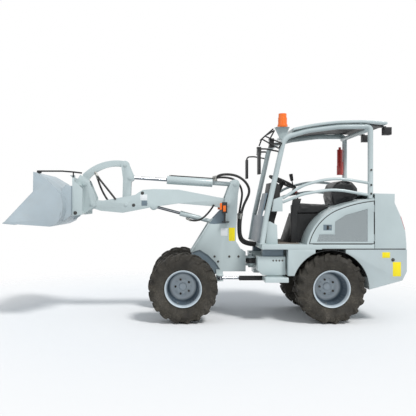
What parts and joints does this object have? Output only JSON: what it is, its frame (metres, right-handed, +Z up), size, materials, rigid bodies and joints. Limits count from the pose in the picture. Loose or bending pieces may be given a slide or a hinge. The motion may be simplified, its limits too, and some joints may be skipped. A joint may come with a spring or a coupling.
{
  "type": "compact yard loader",
  "caption": "Small articulated wheel loader with a canopy, an open roll-over frame, a bucket on a hydraulic arm, opening side doors and a lifting rear hood.",
  "frame": {"origin": "on the ground, under the middle of the machine's box", "axes": "+X towards the tail, +Y towards the machine's right side, +Z up"},
  "size_m": [4.5, 1.25, 2.368],
  "materials": {
    "body_paint": "satin",
    "frame_paint": "satin",
    "dark_steel": "satin",
    "bucket_paint": "satin",
    "tyre_rubber": "matte",
    "rim_paint": "gloss",
    "cast_weight": "satin",
    "axle_iron": "matte",
    "rod_chrome": "polished",
    "black_plastic": "matte",
    "seat_vinyl": "satin",
    "orange_lens": "gloss",
    "red_lens": "gloss",
    "red_paint": "gloss",
    "engine_iron": "matte"
  },
  "bodies": {
    "rear_frame": {"rear_chassis": "dark_steel", "rear_axle": "axle_iron", "floor": "body_paint", "rear_fenders": "body_paint", "counterweight": "cast_weight", "engine_block": "engine_iron", "engine_cover": "body_paint", "step_boxes": "body_paint", "front_shield": "frame_paint", "dash_console": "black_plastic", "seat_base": "black_plastic", "seat_cushion": "seat_vinyl", "seat_back": "seat_vinyl", "control_console": "black_plastic", "rops_frame": "body_paint", "roof": "body_paint", "arm_rails": "body_paint", "beacon_bracket": "dark_steel", "beacon": "orange_lens", "mirrors": "black_plastic", "worklights": "black_plastic", "extinguisher": "red_paint", "step_hangers": "frame_paint", "arch_liners": "black_plastic", "kick_panels": "body_paint"},
    "front_frame": {"front_chassis": "body_paint", "front_axle": "axle_iron", "lamp_brackets": "black_plastic", "indicator_lenses": "orange_lens", "axle_carrier": "frame_paint", "tower_cheeks": "frame_paint"},
    "wheel_front_left": {"tyre_front_left": "tyre_rubber", "rim_front_left": "rim_paint"},
    "wheel_front_right": {"tyre_front_right": "tyre_rubber", "rim_front_right": "rim_paint"},
    "wheel_rear_left": {"tyre_rear_left": "tyre_rubber", "rim_rear_left": "rim_paint"},
    "wheel_rear_right": {"tyre_rear_right": "tyre_rubber", "rim_rear_right": "rim_paint"},
    "boom": {"boom": "body_paint"},
    "lever": {"lever": "body_paint"},
    "link": {"link": "body_paint"},
    "coupler": {"coupler": "body_paint", "bucket": "bucket_paint"},
    "lift_barrel": {"lift_barrel": "body_paint"},
    "lift_rod": {"lift_rod": "rod_chrome"},
    "tilt_barrel": {"tilt_barrel": "body_paint"},
    "tilt_rod": {"tilt_rod": "rod_chrome"},
    "steer_barrel": {"steer_barrel": "black_plastic"},
    "steer_rod": {"steer_rod": "rod_chrome"},
    "steering_wheel": {"steering_wheel": "black_plastic"},
    "rear_hood": {"rear_hood": "body_paint", "tail_lights": "red_lens"},
    "side_door_left": {"side_door_left": "body_paint"},
    "side_door_right": {"side_door_right": "body_paint"}
  },
  "joints": [
    {"name": "articulation", "type": "hinge", "parent": "rear_frame", "child": "front_frame", "pos_m": [0.575, 0, 0.6575], "axis": [0, 0, 1], "range_deg": [-40, 40]},
    {"name": "front_left_roll", "type": "hinge", "parent": "front_frame", "child": "wheel_front_left", "pos_m": [-0.25, -0.465, 0.393], "axis": [0, 1, 0], "continuous": true},
    {"name": "front_right_roll", "type": "hinge", "parent": "front_frame", "child": "wheel_front_right", "pos_m": [-0.25, 0.465, 0.393], "axis": [0, 1, 0], "continuous": true},
    {"name": "rear_left_roll", "type": "hinge", "parent": "rear_frame", "child": "wheel_rear_left", "pos_m": [1.4, -0.465, 0.393], "axis": [0, 1, 0], "continuous": true},
    {"name": "rear_right_roll", "type": "hinge", "parent": "rear_frame", "child": "wheel_rear_right", "pos_m": [1.4, 0.465, 0.393], "axis": [0, 1, 0], "continuous": true},
    {"name": "boom_lift", "type": "hinge", "parent": "front_frame", "child": "boom", "pos_m": [0.291, 0, 1.339], "axis": [0, 1, 0], "range_deg": [-42, 42]},
    {"name": "lift_barrel_swing", "type": "hinge", "parent": "front_frame", "child": "lift_barrel", "pos_m": [0.112, 0, 1.125], "axis": [0, 1, 0], "range_deg": [-56, 56]},
    {"name": "lift_rod_slide", "type": "slide", "parent": "lift_barrel", "child": "lift_rod", "axis": [-0.9668, 0, 0.2554], "range_m": [-0.165, 0.165]},
    {"name": "tilt_barrel_swing", "type": "hinge", "parent": "front_frame", "child": "tilt_barrel", "pos_m": [0.374, 0, 1.577], "axis": [0, 1, 0], "range_deg": [-46, 46]},
    {"name": "tilt_rod_slide", "type": "slide", "parent": "tilt_barrel", "child": "tilt_rod", "axis": [-0.9978, 0, 0.0662], "range_m": [-0.18, 0.18]},
    {"name": "bucket_tilt", "type": "hinge", "parent": "boom", "child": "coupler", "pos_m": [-1.332, 0, 1.34], "axis": [0, 1, 0], "range_deg": [-80, 50]},
    {"name": "lever_swing", "type": "hinge", "parent": "boom", "child": "lever", "pos_m": [-0.925, 0, 1.334], "axis": [0, 1, 0], "range_deg": [-48, 30]},
    {"name": "link_swing", "type": "hinge", "parent": "lever", "child": "link", "pos_m": [-0.94, 0, 1.811], "axis": [0, 1, 0], "range_deg": [-28, 36]},
    {"name": "steer_barrel_swing", "type": "hinge", "parent": "rear_frame", "child": "steer_barrel", "pos_m": [0.77, -0.2, 0.467], "axis": [0, 0, 1], "range_deg": [-30, 30]},
    {"name": "steer_rod_slide", "type": "slide", "parent": "steer_barrel", "child": "steer_rod", "axis": [-1, 0, 0], "range_m": [-0.145, 0.145]},
    {"name": "steering_wheel_turn", "type": "hinge", "parent": "rear_frame", "child": "steering_wheel", "pos_m": [0.962, 0, 1.606], "axis": [0.4226, 0, 0.9063], "continuous": true},
    {"name": "rear_hood_open", "type": "hinge", "parent": "rear_frame", "child": "rear_hood", "pos_m": [1.893, 0, 1.457], "axis": [0, 1, 0], "range_deg": [-60, 0]},
    {"name": "side_door_left_open", "type": "hinge", "parent": "rear_frame", "child": "side_door_left", "pos_m": [1.883, -0.56, 1.1], "axis": [0, 0, 1], "range_deg": [0, 80]},
    {"name": "side_door_right_open", "type": "hinge", "parent": "rear_frame", "child": "side_door_right", "pos_m": [1.883, 0.56, 1.1], "axis": [0, 0, 1], "range_deg": [-80, 0]}
  ],
  "couplings": [
    {"joint": "lift_barrel_swing", "follows": "boom_lift", "ratio": 1.135},
    {"joint": "lift_rod_slide", "follows": "boom_lift", "m_per_rad": 0.208},
    {"joint": "tilt_barrel_swing", "follows": "boom_lift", "ratio": 0.95},
    {"joint": "tilt_rod_slide", "follows": "boom_lift", "m_per_rad": -0.228},
    {"joint": "lever_swing", "follows": "bucket_tilt", "ratio": 0.575},
    {"joint": "link_swing", "follows": "bucket_tilt", "ratio": -0.36},
    {"joint": "steer_barrel_swing", "follows": "articulation", "ratio": 0.665},
    {"joint": "steer_rod_slide", "follows": "articulation", "m_per_rad": -0.196}
  ]
}
